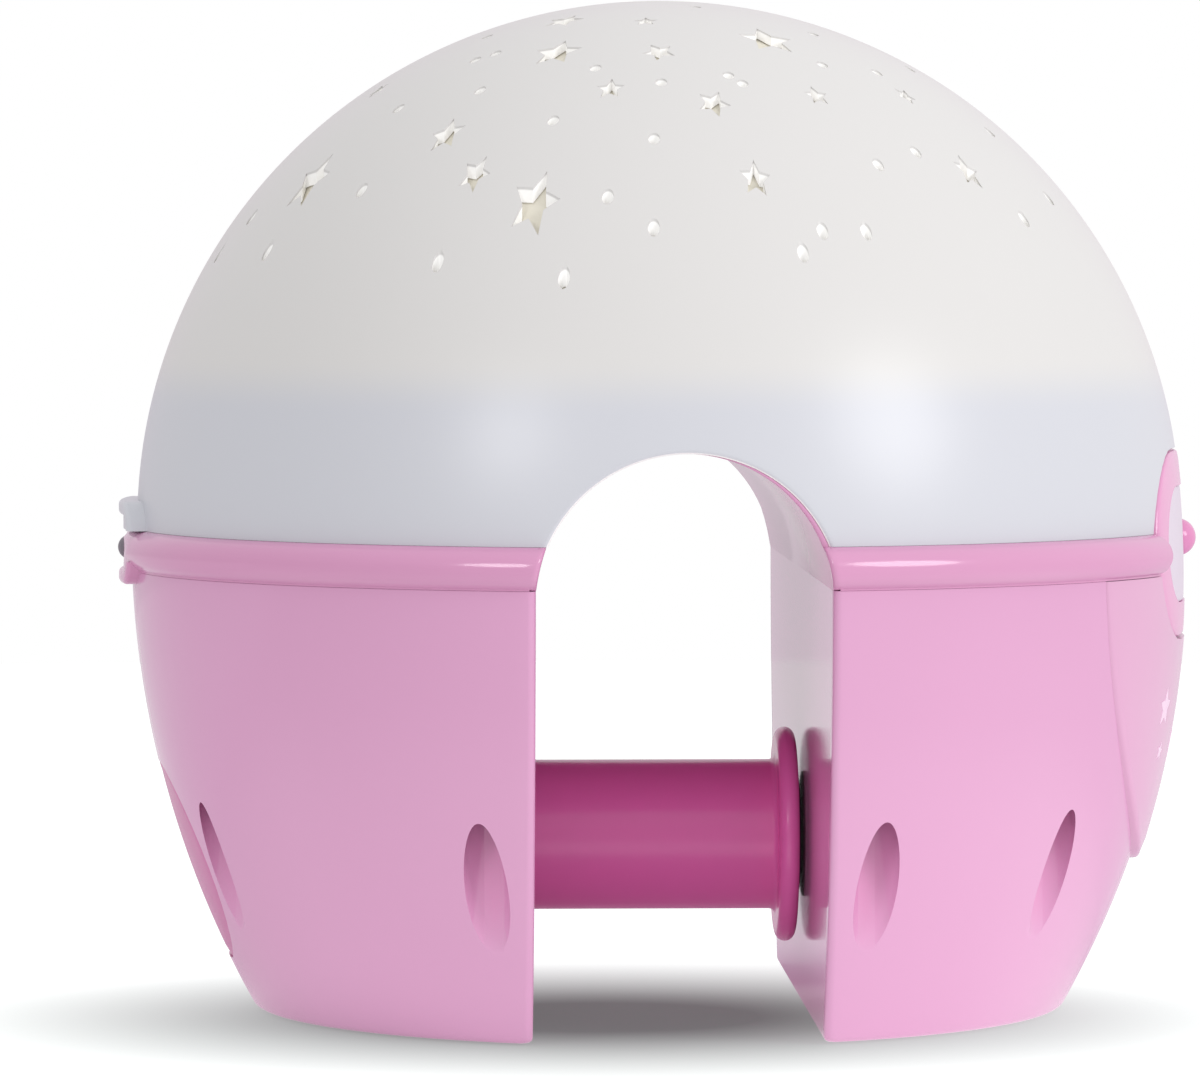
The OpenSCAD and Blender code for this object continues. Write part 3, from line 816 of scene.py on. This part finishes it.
def leg_level(side, z, radius, wall_x, corner):
    """One level of a leg: an arc closed by the slot's wall, with rounded corners."""
    cx = wall_x + corner
    cy = math.sqrt((radius - corner) ** 2 - cx * cx)
    lift = math.degrees(math.atan2(cy, cx))
    outline = [(radius * math.cos(t), radius * math.sin(t)) for t in
               [math.radians(-lift + 2 * lift * k / 110) for k in range(111)]]
    outline += arc(cx, cy, corner, lift, 180, 7)[1:]
    outline += [(wall_x, cy - 2 * cy * k / 40) for k in range(1, 40)]
    outline += arc(cx, -cy, corner, 180, 360 - lift, 7)[:-1]
    return [(side * x, side * y, z) for x, y in outline]


def leg_skin(name, side, wall_x, inset=0.0):
    """Outside or inside skin of one leg as a closed form."""
    levels = []
    if inset:
        low = LEG_FOOT + inset
        levels = [(z, belly(z, inset), wall_x + inset) for z in
                  [low + (LEG_TOP + 1 - low) * k / 24 for k in range(25)]]
    else:
        for k in range(7):
            z = LEG_FOOT + SLOT_ROUND * (1 - math.cos(math.radians(15 * k)))
            levels.append((z, belly(z), wall_x + SLOT_ROUND * (1 - math.sin(math.radians(15 * k)))))
        top = 0.06
        rows = 52
        for k in range(1, rows + 1):
            z = levels[6][0] + (LEG_TOP - top - levels[6][0]) * k / rows
            levels.append((z, belly(z), wall_x))
        levels.append((LEG_TOP, belly(LEG_TOP) - top, wall_x))
    corner = SLOT_ROUND if not inset else 0.6
    return loft(name, [leg_level(side, z, r, x, corner) for z, r, x in levels])


def leg(name, side):
    """One hollow leg with its screw wells and the seats of its feet."""
    wall_x = SLOT_FRONT if side > 0 else -SLOT_REAR
    obj = leg_skin(name, side, wall_x)
    inside = leg_skin("tool", side, wall_x, LEG_WALL)
    towers, wells = [], []
    for turn in WELL_TURNS:
        if (turn > 0) == (side > 0):
            for flip in (-1, 1):
                t = math.radians(turn)
                x, y = WELL_PITCH * math.sin(t), flip * WELL_PITCH * math.cos(t)
                tower = arc(x, y, TOWER_R, 0, 352.5, 47)
                towers.append(prism(tower, -2, WELL_TOP + LEG_WALL, upright))
                wells.append(prism(arc(x, y, WELL_R, 0, 354, 59), -3, WELL_TOP, upright))
    cut(inside, merged("tool", towers))
    cut(obj, inside)
    feet = [arc(side * x, y, FOOT_R + 0.1, 0, 352.5, 47) for x, y in FEET]
    cut(obj, merged("tool", wells + [prism(outline, -1, FOOT_TOP, upright) for outline in feet]))
    return obj


def sound_holes():
    """A hole under the speaker's middle and two rings of holes round it."""
    x, y = SPEAKER
    places = [(x, y)]
    for k in (1, 2):
        places += arc(x, y, SOUND_PITCH * k, 0, 360 - 60 / k, 6 * k - 1)
    return merged("tool", [prism(arc(u, v, SOUND_R, 0, 337.5, 15), -1, 9, upright)
                           for u, v in places])


front_leg = leg("front_leg", 1)
cut(front_leg, box_tool(*DOOR_SEAT))
cut(front_leg, box_tool(*CELL_OPENING))
cut(front_leg, prism_tool(arc(*DOOR_SCREW, DOOR_SCREW_R, 0, 337.5, 15), 0, 12, upright))
cut(front_leg, recess_tool(disc(COVER_DISC_R + COVER_GAP, COVER_DISC_Z), cover_back))
cut(front_leg, merged("tool", [panel_hole()]))
rear_leg = leg("rear_leg", -1)
cut(rear_leg, prism_tool(grown(cap_outline(), -CAP_LEDGE), 55, OUTSIDE_R, from_rear))
cut(rear_leg, recess_tool(grown(cap_outline(), CAP_GAP), cap_back, rear=True))
cut(rear_leg, lathe_x("tool", [(SLOT_REAR - 6, BUSH_R), (SLOT_REAR + 3, BUSH_R)], CLAMP_Z))
cut(rear_leg, sound_holes())
dress(front_leg, "leg", stands_for=["front_leg_shell"])
dress(rear_leg, "leg", stands_for=["rear_leg_shell"])


# ---- cover, panel, button, bezel, knob and rear cap ----

def cover():
    """The round shield on the front leg, cut off under the ring and round the panel."""
    obj = curved_plate("cover", disc(COVER_DISC_R, COVER_DISC_Z), cover_face, cover_back,
                       soft=lambda z: min(0.7, cover_step(z)), rings=24)
    cut(obj, box_tool((20, -70, LEG_TOP - 0.05), (120, 70, 140)))
    cut(obj, merged("tool", [panel_hole()]))
    return obj


def prints():
    """Flat stars printed on the cover, as thick as a coat of ink."""
    parts = []
    for y, z, radius, turn in PRINTS:
        outline = [(y + u, z + v) for u, v in star(radius, turn)]

        def place(u, v, w):
            r = cover_face(v) + w
            return (math.sqrt(r * r - u * u), u, v)

        parts.append(prism(outline, -0.3, 0.04, place))
    return merged("cover_prints", parts)


def panel_frame():
    """The pink frame of the front panel, open for its window."""
    obj = curved_plate("panel_frame", panel_outline(), panel_face, level(SEAT_OUT),
                       soft=0.5, rings=16)
    cut(obj, merged("tool", [panel_hole(WINDOW_DROP - 0.03)]))
    return obj


def window():
    """The white plate in that frame, with the button's hole."""
    obj = curved_plate("window", panel_outline(WINDOW_DROP), lambda z: panel_face(z) - 0.2,
                       level(SEAT_OUT), soft=0.35, rings=16)
    cut(obj, lathe_x("tool", [(60, BUTTON_R + 0.3), (100, BUTTON_R + 0.3)], BUTTON_Z, steps=64))
    return obj


def button():
    """The round button: stem, flange behind the window and domed head."""
    flange = SEAT_OUT - 1.3
    profile = [(74.7, 0), (74.7, 1.5), (flange, 1.5), (flange, BUTTON_R + 1.3)]
    profile += [(flange + 0.9, BUTTON_R + 1.3), (flange + 0.9, BUTTON_R)]
    profile += arc(BUTTON_X, 0, BUTTON_R, 90, 0, 20)
    return lathe_x("button", profile, BUTTON_Z, steps=64)


def bezel(name, low, high, inner):
    """Part of the raised frame round the mode switch: its rim and the sunk face inside it."""
    soft = 0.7
    section = [(0, inner), (0, BEZEL_OUT - soft)]
    section += [(-soft + u, BEZEL_OUT - soft + v) for u, v in arc(0, 0, soft, 0, 90, 5)[1:]]
    section += [(-BEZEL_RIM + soft + u, BEZEL_OUT - soft + v)
                for u, v in arc(0, 0, soft, 90, 180, 5)]
    section += [(-BEZEL_RIM, inner)]
    loops = []
    for y, z, n, m in bezel_outline():
        loop = []
        for grow, r in section:
            u, v = y + grow * n, z + grow * m
            loop.append((-math.sqrt(r * r - u * u), u, v))
        loops.append(loop)
    rim = loft(name + "_rim", loops, closed_rows=True)
    inside = grown(bezel_outline(), -1.9)  # a little under the rim
    face = curved_plate(name + "_face", inside, level(BEZEL_FACE), level(inner),
                        rear=True, soft=0.02, rise=1)
    cut(face, knob_tool())
    for obj in (rim, face):
        cut(obj, box_tool((-90, -30, 50), (-60, 30, low)))
        cut(obj, box_tool((-90, -30, high), (-60, 30, 95)))
    return rim, face


def rear_cap():
    """The cap's plate and the post on it that the spring stands on."""
    plate = curved_plate("rear_cap", cap_outline(), lambda z: belly_face(z) + CAP_PROUD, cap_back,
                         rear=True, soft=0.35, rings=12)
    seat, edge = SPRING_SEAT_X, 0.3
    profile = [(-78, 0), (-78, BORE_R), (seat - edge, BORE_R), (seat, BORE_R - edge), (seat, 0)]
    post = lathe_x("spring_post", profile, CLAMP_Z, steps=64)
    cut(post, recess_tool(cap_outline(), lambda z: cap_back(z) + 0.05, rear=True))
    return plate, post


dress(cover(), "cover", stands_for=["front_cover"])
dress(prints(), "print")
dress(panel_frame(), "panel", stands_for=["front_panel"])
dress(window(), "window", stands_for=["panel_window"])
dress(button(), "button", "button", ["front_button"])
for obj in bezel("bezel_upper", SEAM_Z, 90, DOME_R - 1.2):
    dress(obj, "dome")
for obj in bezel("bezel_chin", 60, CHIN_TOP, BELLY_MAX - 0.3):
    dress(obj, "ring")
cap_plate, cap_post = rear_cap()
dress(cap_plate, "cap", stands_for=["rear_cap"])
dress(cap_post, "cap")


# ---- clamp ----

def plunger():
    """The piston, hollow for its spring, with its flange and the step for the stop ring."""
    rim, edge = FLANGE_T / 2, 0.3
    front = FLANGE_X + FLANGE_T
    neck = PLUNGER_R - 1.5
    profile = [(BORE_END_X, 0), (BORE_END_X, BORE_R)]
    profile += [(TAIL_X + edge, BORE_R), (TAIL_X, BORE_R + edge), (TAIL_X, PLUNGER_R - 1.8)]
    profile += [(TAIL_X + edge, neck), (TAIL_X + 2.2, neck), (TAIL_X + 2.2, PLUNGER_R)]
    profile += arc(FLANGE_X - 1, PLUNGER_R + 1, 1, -90, 0, 8)
    profile += [(FLANGE_X, FLANGE_R - rim)]
    profile += arc(FLANGE_X + rim, FLANGE_R - rim, rim, 180, 0, 20)[1:]
    profile += [(front, PAD_R + edge), (front - edge, PAD_R), (front - 1, PAD_R), (front - 1, 0)]
    return lathe_x("plunger", profile, CLAMP_Z, steps=160)


def pad():
    """The disc let into the flange, with four round grooves in its face."""
    back, face = FLANGE_X + FLANGE_T - 1, SLOT_FRONT - 0.3
    profile = [(back, 0), (back, PAD_R - 0.05), (face - 0.3, PAD_R - 0.05)]
    profile += arc(face - 0.3, PAD_R - 0.35, 0.3, 90, 0, 4)
    for r in (8.0, 6.0, 4.0, 2.0):
        low = face - 0.35
        profile += [(face, r + 0.35), (low, r + 0.15), (low, r - 0.15), (face, r - 0.35)]
    profile += [(face, 0)]
    return lathe_x("pad", profile, CLAMP_Z, steps=96)


def spring():
    """The coil spring from the rear cap's post to the bottom of the plunger's bore."""
    start, end = SPRING_SEAT_X + WIRE_R, SPRING_END_X - WIRE_R
    turns = [math.radians(36 * k) for k in range(10)]
    wire = [(WIRE_R * math.sin(u), WIRE_R * math.cos(u)) for u in turns]
    steps = 24 * SPRING_TURNS
    loops = []
    for i in range(steps + 1):
        t = math.radians(15 * i)
        x = start + (end - start) * i / steps
        loops.append([(x + u, (SPRING_R + v) * math.cos(t), CLAMP_Z + (SPRING_R + v) * math.sin(t))
                      for u, v in wire])
    return loft("spring", loops)


dress(plunger(), "clamp", "clamp", ["clamp_plunger"])
coil = dress(spring(), "steel", stands_for=["clamp_spring"])
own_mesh(coil)
dress(pad(), "pad", "clamp", ["grip_pad"])


# ---- carried-over nodes ----

for entry in frame["record"]["subparts"]:
    node = frame["nodes"][entry["node"]]
    if node.hide_render:
        continue
    node.data.materials.clear()
    node.data.materials.append(MATERIALS[entry["material_slot"]])


# ---- floor, light and camera ----

# Glow of the floor: distance from the shadow's middle in metres, and strength or colour. One lights
# the object from the front and one from behind, both dimmed near the middle as painted shadow, the
# one behind tinted pink there as painted bounce from the legs. The camera sees its own, a painted
# contact shadow: dark in the middle, white further out
GLOW_FRONT = ((0.0, 0.1), (0.03, 0.3), (0.045, 0.95), (0.11, 0.95), (0.18, 0.5), (0.5, 0.3))
GLOW_BEHIND = (
    (0.0, (0.22, 0.09, 0.16)), (0.1, (0.38, 0.27, 0.36)),
    (0.3, (0.39, 0.34, 0.38)), (0.6, (0.35, 0.312, 0.342)),
)
SEEN_GLOW_PAINTED_SHADOW = ((0.0, 0.12), (0.02, 0.12), (0.03, 0.23), (0.05, 0.52), (0.078, 0.92), (0.09, 1.0))
SHADOW_SHAPE = (0.8, 1, 0)  # what X and Y count for in that distance
SHADOW_SHIFT = (0.008, 0.02, 0)
FLOOR_Z = -0.0001  # just under the feet, so that no two surfaces coincide
FLOOR_TONE = (0.42, 0.42, 0.42, 1)
FLOOR_SEEN = (0.105, 0.14, 0.125, 1)


def floor():
    """A pale round sheet whose glow lights the object, dimmed near the middle as painted shadow.
    The camera sees it darker and with a glow of its own that paints the contact shadow, so that it
    ends in white."""
    mesh = bpy.data.meshes.new("floor")
    rim = [(x, y, FLOOR_Z) for x, y in arc(0, 0, 0.9, 0, 357, 119)]
    mesh.from_pydata(rim, [], [tuple(range(len(rim)))])
    obj = added("floor", mesh)
    mat = moulded("floor_white", FLOOR_TONE, rough=0.9, drift=0)
    tree = mat.node_tree
    shader = tree.nodes["Principled BSDF"]
    shader.inputs["Specular IOR Level"].default_value = 0.2
    place = tree.nodes["Texture Coordinate"].outputs["Object"]
    spread = vector_math(tree, "MULTIPLY_ADD", place, SHADOW_SHAPE, SHADOW_SHIFT)
    away = vector_math(tree, "LENGTH", spread.outputs["Vector"]).outputs["Value"]
    seen = tree.nodes.new("ShaderNodeLightPath").outputs["Is Camera Ray"]
    axes = along_axes(tree, place)

    def profile(stops):
        """Glow against the distance from the shadow's middle."""
        node = tree.nodes.new("ShaderNodeValToRGB")
        for k, (at, value) in enumerate(stops):
            stop = node.color_ramp.elements[k] if k < 2 else node.color_ramp.elements.new(at)
            stop.position = at
            stop.color = (*value, 1) if isinstance(value, tuple) else (value, value, value, 1)
        tree.links.new(away, node.inputs["Fac"])
        return node.outputs["Color"]

    front = vector_math(tree, "SCALE", profile(GLOW_FRONT))
    tree.links.new(ranged(tree, axes["X"], -0.15, 0.15, 0.55, 1.0), front.inputs["Scale"])
    behind = ranged(tree, axes["Y"], -0.04, 0.03)
    cast = mixed(tree, behind, front.outputs["Vector"], profile(GLOW_BEHIND))
    tone = shader.inputs["Base Color"].links[0].from_socket
    tree.links.new(mixed(tree, seen, tone, FLOOR_SEEN), shader.inputs["Base Color"])
    # painted shadow: the camera's glow is low under the object and rises to white further out
    tree.links.new(mixed(tree, seen, cast, profile(SEEN_GLOW_PAINTED_SHADOW)), shader.inputs["Emission Color"])
    shader.inputs["Emission Strength"].default_value = 1
    mesh.materials.append(mat)


LIGHT_AIM = (0, 0, 0.07)
LIGHT_DISTANCE = 1.4


def light(name, way, size, power):
    """A round soft box seen from the object along way."""
    data = bpy.data.lights.new(name, "AREA")
    data.shape = "DISK"
    data.size = size
    data.energy = power
    obj = added(name, data)
    way = Vector(way).normalized()
    obj.location = Vector(LIGHT_AIM) + way * LIGHT_DISTANCE
    obj.rotation_euler = way.to_track_quat("Z", "Y").to_euler()


def world(strength, lean):
    """White light from all round, stronger along lean and faintly pink behind the object. The
    camera sees plain white."""
    studio = bpy.data.worlds.new("studio")
    bpy.context.scene.world = studio
    studio.use_nodes = True
    tree = studio.node_tree
    back = tree.nodes["Background"]
    way = tree.nodes.new("ShaderNodeTexCoord").outputs["Generated"]
    total = tree.nodes.new("ShaderNodeMath")
    total.operation = "ADD"
    total.inputs[1].default_value = strength
    tree.links.new(vector_math(tree, "DOT_PRODUCT", way, lean).outputs["Value"], total.inputs[0])
    tree.links.new(total.outputs["Value"], back.inputs["Strength"])
    behind = ranged(tree, along_axes(tree, way)["Y"], start=0.8)
    tree.links.new(mixed(tree, behind, WHITE, (1.0, 0.9, 0.98, 1)), back.inputs["Color"])
    seen = tree.nodes.new("ShaderNodeBackground")
    seen.inputs["Color"].default_value = WHITE
    mix = tree.nodes.new("ShaderNodeMixShader")
    camera_ray = tree.nodes.new("ShaderNodeLightPath").outputs["Is Camera Ray"]
    tree.links.new(camera_ray, mix.inputs["Fac"])
    tree.links.new(back.outputs["Background"], mix.inputs[1])
    tree.links.new(seen.outputs["Background"], mix.inputs[2])
    tree.links.new(mix.outputs["Shader"], tree.nodes["World Output"].inputs["Surface"])


CAMERA_AT = (-44.6, -1051.9, DOME_Z + 40.4)
CAMERA_TURN = 1.938  # degrees to the right of straight along the slot
CAMERA_PITCH = 2.36  # degrees downwards


def camera():
    """Stands a metre in front of the slot, a little above the dome's middle."""
    data = bpy.data.cameras.new("camera")
    data.sensor_width = 36
    data.lens = 205.5
    obj = added("camera", data)
    obj.location = [c * MM for c in CAMERA_AT]
    turn, pitch = math.radians(CAMERA_TURN), math.radians(CAMERA_PITCH)
    flat = math.cos(pitch)
    look = Vector((math.sin(turn) * flat, math.cos(turn) * flat, -math.sin(pitch)))
    obj.rotation_euler = look.to_track_quat("-Z", "Y").to_euler()
    bpy.context.scene.camera = obj


floor()
world(strength=0.75, lean=(0.17, 0.03, 0.3))
light("key", way=(0.73, -0.6, 0.34), size=0.6, power=6.0)
light("fill", way=(-0.55, -0.78, 0.33), size=0.4, power=2.8)
camera()
scene = bpy.context.scene
scene.view_settings.view_transform = "Standard"
scene.view_settings.look = "None"
